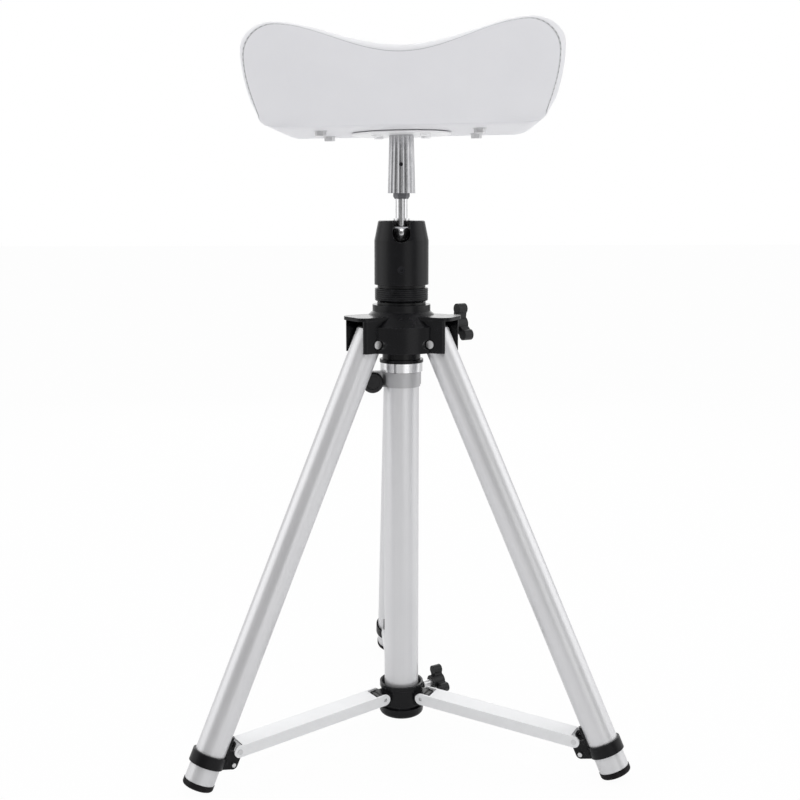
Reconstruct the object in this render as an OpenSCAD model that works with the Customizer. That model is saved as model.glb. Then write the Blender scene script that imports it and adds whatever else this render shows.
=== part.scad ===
// Pedicure footrest: a saddle cushion on a ball head, a telescopic column and a folding tripod.
// Millimetres. Z is up, the floor is Z = 0 and the column stands on the origin. The rear leg points to +Y.

/* [Column] */
// Outer diameter of the fixed column tube
column_d = 30; // [28:0.5:32]
// Wall of the fixed column tube
column_wall = 1.5; // [1:0.25:2]
// Height of the column tube's lower end above the floor
column_low = 21; // [20:1:24]
// Outer diameter of the sliding inner column
inner_d = 25; // [24:0.1:25]
// Wall of the sliding inner column
inner_wall = 1.4; // [1:0.1:2]
// Length of the sliding inner column
inner_l = 292; // [240:1:320]

/* [Tripod hub] */
// Height of the leg pivots above the floor
pivot_z = 353.5; // [330:0.5:380]
// Distance of the leg pivots from the column's axis
pivot_r = 34.5; // [34:0.5:36]
// Radius of the round hub casting
hub_r = 38.5; // [37.5:0.5:39]
// Reach of the hub's cheeks beside each leg
cheek_reach = 46.5; // [45:0.5:50]
// Thickness of each cheek
cheek_t = 3.2; // [2.5:0.1:4]
// Height of the hub's round wall
hub_wall_h = 21.4; // [20:0.2:23]
// Diameter of the leg pivot pins
pivot_pin_d = 6; // [5:0.5:7]

/* [Legs] */
// Outer diameter of the leg tubes
leg_d = 25; // [23:0.5:25.5]
// Wall of the leg tubes
leg_wall = 1.3; // [1:0.1:2]
// Angle between a leg and the column
splay = 25.1; // [22:0.1:28]
// Radius of the rubber feet
foot_r = 12.9; // [12.6:0.1:14]
// Height of rubber that shows below the tube
foot_h = 5.5; // [5:0.5:10]

/* [Braces] */
// Width over the brace channel
brace_w = 19; // [17:0.5:20]
// Height of the brace channel
brace_h = 9.8; // [9:0.2:10.4]
// Wall of the brace channel
brace_wall = 1.5; // [1:0.1:2]
// Distance of the collar's pins from the column's axis
collar_pin_r = 23; // [22.6:0.1:25]
// Height of the collar's pins above the floor
collar_pin_z = 37.6; // [35:0.1:39]
// Distance of the outer brace pin from the leg's axis
brace_pin_off = 21; // [20.5:0.1:23]
// Distance of the outer brace pin from the foot's end along the leg
brace_pin_up = 36.9; // [34:0.1:42]

/* [Ball head] */
// Radius of the black head
head_r = 22.8; // [22:0.1:25]
// Height of the head's straight body
head_body_h = 37.1; // [35:0.1:42]
// Height of the head's tapered top
head_cone_h = 16.4; // [15:0.1:18]
// Diameter of the ball
ball_d = 17; // [16:0.2:17.4]
// Width of the slot that lets the stem tip over
notch_w = 14.4; // [14.2:0.1:15]
// Rest turn of the head about the column
head_yaw = -3.5; // [-6:0.5:6]

/* [Stem] */
// Diameter of the stem rod
rod_d = 10; // [8:0.5:10]
// Length of the fluted socket
socket_l = 46.8; // [40:0.2:55]
// Radius of the fluted socket at its foot
socket_r = 11.45; // [10.5:0.05:12]
// Radius of the mounting flange
flange_r = 41; // [38:0.5:46]

/* [Cushion] */
// Width of the cushion's front outline at its widest
cushion_w = 240; // [220:2:260]
// Depth of the cushion between its front and rear seams
cushion_d = 150; // [130:2:170]
// Height of the two crests at the seam
crest_h = 77.2; // [72:0.2:86]
// Height of the saddle's lowest point at the seam
saddle_h = 55.3; // [46:0.1:66]
// How far the band between the seams swells at the ends
swell = 9.5; // [6:0.5:12]
// How far the band's crown rises over the seams
crown_h = 12; // [4:0.5:14]
// Rest turn of the cushion about its stem
cushion_yaw = -5.5; // [-8:0.5:8]
// Lean of the cushion to one side on its flange
cushion_roll = 1; // [-2:1:2]
// Thickness of the plywood board
board_t = 12; // [9:1:15]

/* [Hidden] */

// Smoothness of round shapes
round_fn = 64;
small_fn = 32;
// Overrun of every cut
over = 1;
// Air between a fixed shaft and its bore
fit = 0.02;
// Running air between pieces that turn or slide
run = 0.1;
// Air between pieces that only pass each other
gap = 0.3;
// The legs' directions, seen from above: rear, left and right
leg_az = [90, 210, 330];

// Places that follow from the sizes above
column_r = column_d / 2;
column_bore = column_r - column_wall;
inner_r = inner_d / 2;
leg_r = leg_d / 2;
leg_bore = leg_r - leg_wall;
pin_r = pivot_pin_d / 2;
foot_round = 2.5;
foot_flat = 0.8;
foot_end_z = (foot_r - foot_round) * sin(splay) + foot_round * (1 - cos(splay)) - foot_flat;
leg_len = (pivot_z - foot_end_z) / cos(splay);
leg_top = 9;
foot_floor = 3.2;
foot_spread = pivot_r + (leg_len - foot_round) * sin(splay);
foot_rear = foot_spread + (foot_r - foot_round) * cos(splay) + foot_round;
foot_front = foot_spread / 2 + (foot_r - foot_round) * sqrt(1 - pow(sin(splay) / 2, 2)) + foot_round;
stand_y = (foot_front - foot_rear) / 2;

// Hub
rim_under_pivot = 7.2;
hub_low = pivot_z - rim_under_pivot;
hub_shoulder = hub_low + hub_wall_h;
slot_half = leg_r + 0.5;
arm_half = slot_half + cheek_t;
core_wall = 2.2;
core_r = column_r + core_wall;
ear_rise = 5.3;
ear_low = hub_shoulder + ear_rise;
ear_t = 3;
ear_top = ear_low + ear_t;
ear_overhang = 4;
ear_lip = 0.6;
ear_reach = cheek_reach + ear_overhang;
ear_round = 9;
boss_r = 24.5;
boss_low = ear_top + 3;
boss_h = 5.5;
boss_top = boss_low + boss_h;
column_top = ear_low + 2;
hub_bore = inner_r + gap;
pocket_wall = 9;
pocket_out = hub_r - pocket_wall;
pocket_inner_wall = 2.6;
pocket_in = core_r + pocket_inner_wall;
pocket_roof = 5;
pocket_top = hub_shoulder - pocket_roof;
pocket_half = 21;
knob_az = 30;
hub_knob_rise = 10.5;
hub_knob_z = pivot_z + hub_knob_rise;
rivet_r = 3.4;
rivet_t = 1.2;
spot_r = 4;

// Column fittings
neck_r = 16.2;
neck_h = 8.2;
neck_flange_r = 18.6;
neck_flange_t = 2.7;
neck_low = hub_low - neck_h - neck_flange_t;
ring_t = 2.9;
ring_play = 0.1;
ring_h = 7.8;
ring_low = neck_low - ring_h;
ring_slot = 2.2;
ring_slot_az = -110.7;
band_t = 1.8;
band_h = 10.6;
band_low = ring_low - band_h - gap;
bead_h = 2;
bead_t = 1.1;
lug_az = 180;
lug_r = 24.9;
lug_drop = 3.3;
lug_low = 2.6;
band_screw_z = band_low + band_h / 2 - lug_drop;
lug_half_gap = 0.8;
lug_t = 3;
lug_tip = 4.8;
screw_r = 2;
round_knob_r = 9;
band_nut_r = 3.9;
band_screw_tail = 4;
knob_edge = 0.6;
knob_rim = 3;
knob_dish = 0.5;
knob_hub_r = 4;
band_nut_t = 3;
round_knob_t = 4;
round_knob_boss = 2;
bush_l = 41;
bush_low = column_top - bush_l;

// Brace linkage
brace_pin_a = leg_len - brace_pin_up;
outer_pin_r = pivot_r + brace_pin_a * sin(splay) - brace_pin_off * cos(splay);
outer_pin_z = pivot_z - brace_pin_a * cos(splay) - brace_pin_off * sin(splay);
brace_dx = outer_pin_r - collar_pin_r;
brace_dz = outer_pin_z - collar_pin_z;
brace_l = sqrt(brace_dx * brace_dx + brace_dz * brace_dz);
brace_drop = atan2(-brace_dz, brace_dx);
brace_in = brace_w / 2 - brace_wall;
brace_end_r = brace_h / 2;
web_cut_in = 8;
web_cut_out = 3;
brace_rivet_r = 1.7;
lug_play = 0.4;
lug_foot = 1.6;
lug_over = 2;
lug_tip_in = 1.2;
lug_plate_t = 3;
boss_root = 1;
rivet_play = 0.05;
rivet_proud = 0.3;
lug_half = brace_in - lug_play;
lug_plate = 5;

// Collar and end cap
collar_under_pin = 8.8;
collar_low = collar_pin_z - collar_under_pin;
collar_h = 19.2;
collar_r = 18.2;
collar_rim_r = 19.2;
collar_rim_h = 4;
collar_bore = column_r + run;
collar_funnel_r = 17.6;
collar_knob_rise = 0.4;
collar_knob_z = collar_pin_z + collar_knob_rise;
collar_boss_r = 4.6;
collar_boss_reach = 22.5;
cap_rim_r = 19.5;
cap_rim_h = 4.8;
cap_round = 5;
cap_drop = 3.8;
cap_neck_r = 17.4;
cap_neck_h = 2;
cap_spigot = 12;
cap_top = collar_low;
cap_rim_top = cap_top - cap_neck_h;
cap_low = cap_rim_top - cap_rim_h - cap_drop;

// Leg clamp
clamp_wall = 1.9;
clamp_r = leg_r + clamp_wall;
clamp_h = 10;
clamp_from_end = 24.5;
clamp_a = leg_len - clamp_from_end;
clamp_lug_half = lug_half;
clamp_lug_t = 2.5;
clamp_bolt_off = 20;
bolt_from_end = 25.3;
clamp_bolt_a = leg_len - bolt_from_end;
clamp_bolt_r = 1.5;
clamp_head_r = 1.9;
clamp_head_t = 1.8;
pin_boss_r = 3.2;
bolt_boss_r = 4.2;
saddle_up = 17;

// Knobs
knob_lobe_share = 0.75;
hub_knob_r = 18.4;
hub_knob_lobe = 4.7;
hub_knob_t = 8.5;
hub_knob_reach = 56.6;
knob_boss_r = 6;
knob_boss_l = 5;
hub_knob_turn = 8;
hub_knob_boss = 4;
collar_knob_r = 14.3;
collar_knob_lobe = 4.1;
collar_knob_t = 8;
collar_knob_reach = 35.5;
collar_knob_turn = -11;
collar_knob_boss = 3;
knob_screw_r = 3;

// Inner column and head
adaptor_low = boss_top;
adaptor_t = 2;
adaptor_r = 20.6;
adaptor_stud_r = 5;
inner_top = adaptor_low;
inner_low = inner_top - inner_l;
plug_play = 0.2;
foot_plug_h = 4;
adaptor_spigot = 18;
plug_r = column_bore - plug_play;
plug_h = 12;
head_low = adaptor_low + adaptor_t + gap;
skirt_r = 18.5;
groove_r = 20.2;
lock_ring_h = 11.5;
ring_top = head_low + lock_ring_h;
ring_groove_h = 2.4;
head_body_low = ring_top + ring_groove_h;
head_shoulder = head_body_low + head_body_h;
head_top = head_shoulder + head_cone_h;
head_taper = 4;
head_top_r = head_r - head_taper;
lock_ring_step = 0.3;
stud_play = 0.06;
head_edge_w = 0.8;
head_edge_h = 0.5;
lock_ring_r = head_r - lock_ring_step;
ball_r = ball_d / 2;
ball_rise = 5.7;
ball_z = head_shoulder + ball_rise;
seat_r = ball_r + run;
socket_bore = 9.5;
cavity_low = head_body_low + 3;
mouth_lip = 0.7;
mouth_low_r = ball_r - mouth_lip;
mouth_rise = 3.5;
mouth_low = ball_z + mouth_rise;
mouth_top_r = 10.8;
washer_room = 5;
cup_rim = 1.5;
cup_low = cavity_low + washer_room + fit;
stud_top = cavity_low - 0.5;
grub_rise = 13.5;
grub_z = head_body_low + grub_rise;
grub_r = 3;
rib_n = 5;

// Stem
neck_collar_r = 6.8;
neck_collar_rise = 6.5;
neck_collar_low = ball_z + neck_collar_rise;
neck_collar_h = 6;
neck_bevel = 1.6;
rod_r = rod_d / 2;
rod_shown = 20.6;
socket_low = neck_collar_low + neck_collar_h + rod_shown;
nut_r = 6.9;
nut_h = 2.7;
nut_cone_h = 2;
nut_cone_step = 0.6;
socket_top = socket_low + socket_l;
socket_taper = 1.3;
socket_top_r = socket_r - socket_taper;
flute_n = 12;
flute_share = 0.075;
flange_t = 1.5;
flange_bevel = 0.5;
spacer_r = 34;
spacer_t = 1.4;
flange_seat = 0.2;
board_low = socket_top + flange_t + spacer_t + flange_seat;
rod_under_top = 4;
rod_top = socket_top - rod_under_top;
pin_z = socket_low + socket_l / 2;
socket_pin_r = 1.6;
flange_screw_pcd = 28;
flange_screw_r = 2;

// Board, bolts and cushion
bolt_x = 63;
bolt_y = 39;
bolt_r = 3;
bolt_head_r = 4.6;
bolt_head_h = 3.4;
bolt_washer_r = 5.6;
bolt_washer_t = 1;
tee_barrel_r = 4;
tee_flange_r = 8;
tee_flange_t = 1.2;
cushion_half = cushion_w / 2;
tuck_share = 0.775;
tuck_w = 17;
tuck_h = 10;
tuck_up = 1.5;
board_half_x = cushion_half * tuck_share - tuck_up / 3;
board_half_y = 62;
board_round = 12;
board_top = board_low + board_t;

// Brings the middle of the footprint over the frame's origin
module on_stand() { translate([0, stand_y, 0]) children(); }

// Turns a shape of one leg's own frame to the leg's direction
module at_az(az) { rotate([0, 0, az]) children(); }

// Frame of a leg: origin on its pivot, X across the leg and outward, Z up along the tube
module leg_frame(i) {
    at_az(leg_az[i]) translate([pivot_r, 0, pivot_z]) rotate([0, -splay, 0]) children();
}

// Frame of a brace: origin on the collar's pin, X along the channel and outward
module brace_frame(i) {
    at_az(leg_az[i]) translate([collar_pin_r, 0, collar_pin_z]) rotate([0, brace_drop, 0]) children();
}

// A cylinder along Y, centred on the origin
module cross_pin(r, l, fn = small_fn) { rotate([90, 0, 0]) cylinder(r = r, h = l, center = true, $fn = fn); }

// A tube standing on the given height
module tube(r, bore, low, h) {
    translate([0, 0, low]) difference() {
        cylinder(r = r, h = h, $fn = round_fn);
        translate([0, 0, -over]) cylinder(r = bore, h = h + 2 * over, $fn = round_fn);
    }
}

// A flat plate with two rounded ends, lying along X from x0 to x1
module rounded_bar(x0, x1, half, r, t) {
    linear_extrude(t) union() {
        translate([x0, -half]) square([x1 - x0 - r, 2 * half]);
        translate([x1 - r - over, -half + r]) square([r + over, 2 * (half - r)]);
        for (s = [-1, 1]) translate([x1 - r, s * (half - r)]) circle(r, $fn = small_fn);
    }
}

module hub_casting() {
    color([0.06, 0.06, 0.065]) on_stand() difference() {
        union() {
            translate([0, 0, hub_low]) cylinder(r = hub_r, h = hub_wall_h, $fn = round_fn);
            translate([0, 0, hub_shoulder])
                cylinder(r1 = hub_r, r2 = boss_r, h = boss_low - hub_shoulder, $fn = round_fn);
            translate([0, 0, boss_low]) cylinder(r = boss_r, h = boss_top - boss_low, $fn = round_fn);
            for (i = [0:2]) at_az(leg_az[i]) {
                translate([0, 0, hub_low]) rounded_bar(core_r, cheek_reach, arm_half, cheek_t, ear_low - hub_low);
                translate([0, 0, ear_low]) rounded_bar(core_r, ear_reach, arm_half + ear_lip, ear_round, ear_t);
            }
            at_az(knob_az) translate([hub_r - knob_boss_l / 2, 0, hub_knob_z]) rotate([0, 90, 0])
                cylinder(r = knob_boss_r, h = knob_boss_l, $fn = small_fn);
        }
        for (i = [0:2]) at_az(leg_az[i]) {
            difference() {
                translate([0, -slot_half, hub_low - over])
                    cube([ear_reach + over, 2 * slot_half, ear_low - hub_low + over]);
                translate([0, 0, hub_low - 2 * over])
                    cylinder(r = core_r, h = boss_top - hub_low, $fn = round_fn);
            }
            translate([pivot_r, 0, pivot_z]) {
                cross_pin(pin_r + fit, 2 * arm_half + 2 * over);
                for (s = [-1, 1]) translate([0, s * (arm_half + hub_r / 2), 0]) cross_pin(spot_r, hub_r);
            }
            at_az(60) translate([0, 0, hub_low - over]) linear_extrude(pocket_top - hub_low + over)
                intersection() {
                    difference() {
                        circle(pocket_out, $fn = round_fn);
                        circle(pocket_in, $fn = round_fn);
                    }
                    polygon([for (a = [-pocket_half, 0, pocket_half])
                        [2 * hub_r * cos(a), 2 * hub_r * sin(a)], [0, 0]]);
                }
        }
        translate([0, 0, hub_low - over])
            cylinder(r = column_r + fit, h = column_top - hub_low + over, $fn = round_fn);
        translate([0, 0, column_top - over])
            cylinder(r = hub_bore, h = boss_top - column_top + 2 * over, $fn = round_fn);
        at_az(knob_az) translate([inner_r, 0, hub_knob_z]) rotate([0, 90, 0])
            cylinder(r = knob_screw_r + run, h = hub_r, $fn = small_fn);
    }
}

module neck_sleeve() {
    color([0.07, 0.07, 0.075]) on_stand() {
        difference() {
            union() {
                translate([0, 0, neck_low]) cylinder(r = neck_flange_r, h = neck_flange_t, $fn = round_fn);
                translate([0, 0, neck_low + neck_flange_t]) cylinder(r = neck_r, h = neck_h, $fn = round_fn);
            }
            translate([0, 0, neck_low - over])
                cylinder(r = column_r + fit, h = neck_h + neck_flange_t + 2 * over, $fn = round_fn);
        }
    }
}

module outer_column() {
    color([0.80, 0.81, 0.83]) on_stand() difference() {
        tube(column_r, column_bore, column_low, column_top - column_low);
        at_az(knob_az) translate([inner_r, 0, hub_knob_z]) rotate([0, 90, 0])
            cylinder(r = knob_screw_r + run, h = column_r, $fn = small_fn);
    }
}

module guide_bush() {
    color([0.15, 0.15, 0.16]) on_stand() difference() {
        tube(column_bore - fit, inner_r + run, bush_low, column_top - bush_low);
        at_az(knob_az) translate([0, 0, hub_knob_z]) rotate([0, 90, 0])
            cylinder(r = knob_screw_r + run, h = column_r, $fn = small_fn);
    }
}

// Plug and wide dished foot of the column, which stops the collar
module column_end_cap() {
    color([0.07, 0.07, 0.075]) on_stand() rotate_extrude($fn = round_fn) polygon(concat(
        [[0, cap_low]],
        [for (a = [-90:15:0])
            [cap_rim_r - cap_round + cap_round * cos(a), cap_low + cap_drop + cap_drop * sin(a)]],
        [[cap_rim_r, cap_rim_top], [cap_neck_r, cap_rim_top], [cap_neck_r, cap_top],
         [column_r + fit, cap_top], [column_r + fit, column_low], [column_bore - fit, column_low],
         [column_bore - fit, column_low + cap_spigot], [0, column_low + cap_spigot]]));
}

module slotted_ring() {
    color([0.83, 0.84, 0.86]) on_stand() difference() {
        tube(column_r + fit + ring_t, column_r + fit, ring_low + ring_play, ring_h - 2 * ring_play);
        at_az(ring_slot_az) translate([column_bore, -ring_slot / 2, ring_low])
            cube([column_wall + 3 * ring_t, ring_slot, ring_h]);
    }
}

module clamp_band() {
    color([0.62, 0.63, 0.65]) on_stand() difference() {
        union() {
            translate([0, 0, band_low]) cylinder(r = column_r + band_t, h = band_h, $fn = round_fn);
            translate([0, 0, band_low - bead_h]) cylinder(r = column_r + bead_t, h = bead_h, $fn = round_fn);
            at_az(lug_az) for (s = [-1, 1])
                translate([column_r, s > 0 ? lug_half_gap : -lug_half_gap - lug_t, band_low - lug_low])
                    cube([lug_r - column_r + lug_tip, lug_t, band_h + lug_low]);
        }
        translate([0, 0, band_low - lug_low - over])
            cylinder(r = column_r + fit, h = band_h + lug_low + 2 * over, $fn = round_fn);
        at_az(lug_az) {
            translate([column_bore, -lug_half_gap, band_low - lug_low - over])
                cube([lug_r, 2 * lug_half_gap, band_h + lug_low + 2 * over]);
            translate([lug_r, 0, band_screw_z]) cross_pin(screw_r + run, 4 * lug_t);
        }
    }
}

// Frame of the clamp's screw: origin in the gap of the lugs, Y along the screw towards the knob
module clamp_screw_frame() {
    at_az(lug_az) translate([lug_r, 0, band_screw_z]) children();
}

module clamp_nut() {
    color([0.75, 0.75, 0.77]) on_stand() clamp_screw_frame() rotate([-90, 0, 0]) difference() {
        translate([0, 0, -lug_half_gap - lug_t - band_nut_t]) cylinder(r = band_nut_r, h = band_nut_t, $fn = 6);
        translate([0, 0, -lug_half_gap - lug_t - 3 - over])
            cylinder(r = screw_r + run, h = 3 + 2 * over, $fn = small_fn);
    }
}

module clamp_screw() {
    color([0.75, 0.75, 0.77]) on_stand() clamp_screw_frame() rotate([-90, 0, 0])
        translate([0, 0, -lug_half_gap - lug_t - band_screw_tail])
            cylinder(r = screw_r, h = 2 * (lug_half_gap + lug_t) + 1.5 * band_screw_tail, $fn = small_fn);
}

module round_knob() {
    color([0.05, 0.05, 0.055]) on_stand() clamp_screw_frame() rotate([-90, 0, 0])
        translate([0, 0, lug_half_gap + lug_t + gap + round_knob_boss]) difference() {
            rotate_extrude($fn = round_fn) polygon([[0, -round_knob_boss], [knob_hub_r, -round_knob_boss],
                [knob_hub_r, 0], [round_knob_r - knob_edge, 0], [round_knob_r, knob_edge],
                [round_knob_r, round_knob_t - 2 * knob_edge], [round_knob_r - 2 * knob_edge, round_knob_t],
                [round_knob_r - knob_rim, round_knob_t],
                [round_knob_r - knob_rim - knob_dish, round_knob_t - knob_dish], [0, round_knob_t - knob_dish]]);
            translate([0, 0, -round_knob_boss - over])
                cylinder(r = screw_r + fit, h = over + round_knob_boss + round_knob_t / 2, $fn = small_fn);
        }
}

// A three-lobed knob whose boss starts at Z = 0
module lobed_knob(r, lobe, t, turn, boss) {
    reach = r - lobe;
    rotate([0, 0, turn]) difference() {
        union() {
            for (k = [0:2]) rotate([0, 0, 120 * k]) {
                translate([reach, 0, boss]) cylinder(r = lobe, h = t, $fn = small_fn);
                translate([lobe, -lobe * knob_lobe_share, boss])
                    cube([reach - lobe, 2 * lobe * knob_lobe_share, t]);
            }
            cylinder(r = lobe * 1.5, h = boss + t + over / 2, $fn = small_fn);
        }
        translate([0, 0, -over]) cylinder(r = knob_screw_r + fit, h = boss + t / 2 + over, $fn = small_fn);
    }
}

// Frame of a knob's screw: Z points away from the column, X up and Y to the side
module knob_frame(z, reach) {
    at_az(knob_az) translate([reach, 0, z]) rotate([0, 90, 0]) rotate([0, 0, 180]) children();
}

module hub_knob_screw() {
    color([0.75, 0.75, 0.77]) on_stand() knob_frame(hub_knob_z, inner_r + gap)
        cylinder(r = knob_screw_r, h = hub_knob_reach - inner_r - gap + hub_knob_t / 2, $fn = small_fn);
}

module hub_knob() {
    color([0.06, 0.06, 0.065]) on_stand() knob_frame(hub_knob_z, hub_knob_reach - hub_knob_boss)
        lobed_knob(hub_knob_r, hub_knob_lobe, hub_knob_t, hub_knob_turn, hub_knob_boss);
}

module collar_knob_screw() {
    color([0.75, 0.75, 0.77]) on_stand() knob_frame(collar_knob_z, column_r + gap)
        cylinder(r = knob_screw_r, h = collar_knob_reach - column_r - gap + collar_knob_t / 2, $fn = small_fn);
}

module collar_knob() {
    color([0.06, 0.06, 0.065]) on_stand() knob_frame(collar_knob_z, collar_knob_reach - collar_knob_boss)
        lobed_knob(collar_knob_r, collar_knob_lobe, collar_knob_t, collar_knob_turn, collar_knob_boss);
}

module leg_pivot_pins() {
    color([0.78, 0.78, 0.80]) on_stand() for (i = [0:2]) at_az(leg_az[i]) translate([pivot_r, 0, pivot_z]) {
        cross_pin(pin_r, 2 * arm_half);
        for (s = [-1, 1]) translate([0, s * (arm_half + rivet_t / 2), 0]) cross_pin(rivet_r, rivet_t);
    }
}

module leg_tube(i) {
    color([0.80, 0.81, 0.83]) on_stand() leg_frame(i) difference() {
        translate([0, 0, foot_floor - leg_len])
            cylinder(r = leg_r, h = leg_len + leg_top - foot_floor, $fn = round_fn);
        translate([0, 0, -leg_len]) cylinder(r = leg_bore, h = leg_len + leg_top + over, $fn = round_fn);
        cross_pin(pin_r + run, leg_d + 2 * over);
    }
}

module leg_plug(i) {
    plug_l = 26;
    dome_h = 3;
    color([0.07, 0.07, 0.075]) on_stand() leg_frame(i) difference() {
        rotate_extrude($fn = round_fn) polygon([[0, leg_top - plug_l], [leg_bore - fit, leg_top - plug_l],
            [leg_bore - fit, leg_top], [leg_r, leg_top], [leg_r, leg_top + dome_h / 2],
            [leg_bore, leg_top + dome_h], [0, leg_top + dome_h]]);
        cross_pin(pin_r + run, leg_d + 2 * over);
    }
}

// Rubber foot: a plug in the tube, a rounded end and a small flat where it stands on the floor
module foot_cap(i) {
    spigot = 16;
    color([0.04, 0.04, 0.045]) on_stand() difference() {
        leg_frame(i) translate([0, 0, -leg_len]) rotate_extrude($fn = round_fn) polygon(concat(
            [[0, 0], [foot_r - foot_round, 0]],
            [for (a = [-75:15:0]) [foot_r - foot_round + foot_round * cos(a), foot_round + foot_round * sin(a)]],
            [[foot_r, foot_h], [leg_r + fit, foot_h], [leg_r + fit, foot_floor], [leg_bore - fit, foot_floor],
             [leg_bore - fit, spigot], [0, spigot]]));
        at_az(leg_az[i]) translate([0, -2 * foot_r, -2 * foot_r])
            cube([leg_len, 4 * foot_r, 2 * foot_r]);
    }
}

// Ring round the leg with a split saddle: two ears carry the brace's pin and the clamp's bolt
module leg_clamp(i) {
    ring_low_z = -clamp_a - clamp_h / 2;
    pin_z0 = -brace_pin_a;
    bolt_z0 = -clamp_bolt_a;
    ear_in = clamp_lug_half - clamp_lug_t;
    color([0.05, 0.05, 0.055]) on_stand() leg_frame(i) difference() {
        union() {
            translate([0, 0, ring_low_z]) cylinder(r = clamp_r, h = clamp_h, $fn = round_fn);
            intersection() {
                translate([0, 0, ring_low_z]) cylinder(r = clamp_r, h = clamp_h + saddle_up, $fn = round_fn);
                translate([-clamp_r, -clamp_lug_half, ring_low_z])
                    cube([clamp_r, 2 * clamp_lug_half, clamp_h + saddle_up]);
            }
            for (s = [-1, 1]) translate([0, s * (clamp_lug_half - clamp_lug_t / 2), 0]) rotate([90, 0, 0])
                translate([0, 0, -clamp_lug_t / 2]) linear_extrude(clamp_lug_t) union() {
                    translate([-brace_pin_off, pin_z0]) circle(pin_boss_r, $fn = small_fn);
                    translate([-clamp_bolt_off, bolt_z0]) circle(bolt_boss_r, $fn = small_fn);
                    polygon([[-brace_pin_off - pin_boss_r, pin_z0], [-clamp_bolt_off - bolt_boss_r, bolt_z0],
                        [-clamp_bolt_off, bolt_z0 - bolt_boss_r], [-leg_r, ring_low_z], [-leg_r, pin_z0 - 1],
                        [-brace_pin_off + pin_boss_r, pin_z0 - 1], [-brace_pin_off, pin_z0]]);
                }
        }
        translate([0, 0, -leg_len]) cylinder(r = leg_r + fit, h = leg_len, $fn = round_fn);
        translate([-2 * clamp_r, -ear_in / 2, ring_low_z - over])
            cube([2 * clamp_r - leg_r + over, ear_in, clamp_h + saddle_up + 2 * over]);
        translate([-brace_pin_off, 0, pin_z0]) cross_pin(brace_rivet_r, 2 * clamp_lug_half + 2 * over);
        translate([-clamp_bolt_off, 0, bolt_z0]) cross_pin(clamp_bolt_r + fit, 2 * clamp_lug_half + 2 * over);
    }
}

module clamp_bolt(i) {
    color([0.75, 0.75, 0.77]) on_stand() leg_frame(i) translate([-clamp_bolt_off, 0, -clamp_bolt_a]) {
        cross_pin(clamp_bolt_r, 2 * clamp_lug_half);
        for (s = [-1, 1]) translate([0, s * (clamp_lug_half + clamp_head_t / 2), 0])
            cross_pin(clamp_head_r, clamp_head_t, s > 0 ? 6 : small_fn);
    }
}

// Channel open below: two flanges with round ends and a web that is cut back at both ends
module brace(i) {
    color([0.86, 0.87, 0.89]) on_stand() brace_frame(i) difference() {
        union() {
            for (s = [-1, 1]) translate([0, s * (brace_w - brace_wall) / 2, 0]) {
                cross_pin(brace_end_r, brace_wall);
                translate([brace_l, 0, 0]) cross_pin(brace_end_r, brace_wall);
                translate([0, -brace_wall / 2, -brace_h / 2]) cube([brace_l, brace_wall, brace_h]);
            }
            translate([web_cut_in, -brace_w / 2, brace_h / 2 - brace_wall])
                cube([brace_l - web_cut_in - web_cut_out, brace_w, brace_wall]);
        }
        for (x = [0, brace_l]) translate([x, 0, 0]) cross_pin(brace_rivet_r + fit, brace_w + 2 * over);
    }
}

// Short rivets in the outer ends of a brace's flanges
module brace_rivets(i) {
    rivet_head_r = 2.2;
    rivet_head_t = 0.5;
    color([0.78, 0.78, 0.80]) on_stand() brace_frame(i) translate([brace_l, 0, 0]) for (s = [-1, 1]) {
        translate([0, s * (brace_w - brace_wall) / 2, 0]) cross_pin(brace_rivet_r, brace_wall);
        translate([0, s * (brace_w + rivet_head_t) / 2, 0]) cross_pin(rivet_head_r, rivet_head_t);
    }
}

module brace_collar() {
    color([0.07, 0.07, 0.075]) on_stand() difference() {
        union() {
            translate([0, 0, collar_low]) cylinder(r = collar_r, h = collar_h - collar_rim_h, $fn = round_fn);
            translate([0, 0, collar_low + collar_h - collar_rim_h])
                cylinder(r = collar_rim_r, h = collar_rim_h, $fn = round_fn);
            for (i = [0:2]) at_az(leg_az[i]) {
                translate([column_r, -lug_half, collar_low + lug_foot])
                    cube([collar_pin_r - column_r, 2 * lug_half, collar_pin_z - collar_low + lug_over]);
                translate([collar_pin_r, 0, collar_pin_z]) cross_pin(brace_end_r - lug_tip_in, 2 * lug_half);
                translate([column_r, -lug_half, collar_pin_z]) cube([collar_pin_r - column_r + lug_plate, 2 * lug_half, lug_plate_t]);
            }
            at_az(knob_az) translate([column_r + boss_root, 0, collar_knob_z]) rotate([0, 90, 0])
                cylinder(r = collar_boss_r, h = collar_boss_reach - column_r - boss_root, $fn = small_fn);
        }
        translate([0, 0, collar_low - over])
            cylinder(r = collar_bore, h = collar_h + 2 * over, $fn = round_fn);
        translate([0, 0, collar_low + collar_h - collar_rim_h])
            cylinder(r1 = collar_bore, r2 = collar_funnel_r, h = collar_rim_h + fit, $fn = round_fn);
        for (i = [0:2]) at_az(leg_az[i]) {
            translate([collar_pin_r, 0, collar_pin_z]) cross_pin(brace_rivet_r + fit, brace_w + 2 * over);
            for (s = [-1, 1])
                translate([collar_pin_r - brace_end_r - gap, s > 0 ? lug_half : -lug_half - collar_r, collar_low + lug_foot])
                    cube([collar_r, collar_r, collar_h - collar_rim_h - lug_foot - gap]);
        }
        at_az(knob_az) translate([0, 0, collar_knob_z]) rotate([0, 90, 0])
            cylinder(r = knob_screw_r + fit, h = 2 * collar_r, $fn = small_fn);
    }
}

module collar_pins() {
    color([0.78, 0.78, 0.80]) on_stand() for (i = [0:2]) at_az(leg_az[i]) translate([collar_pin_r, 0, collar_pin_z])
        cross_pin(brace_rivet_r - rivet_play, 2 * lug_half + 2 * rivet_proud);
}

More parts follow.
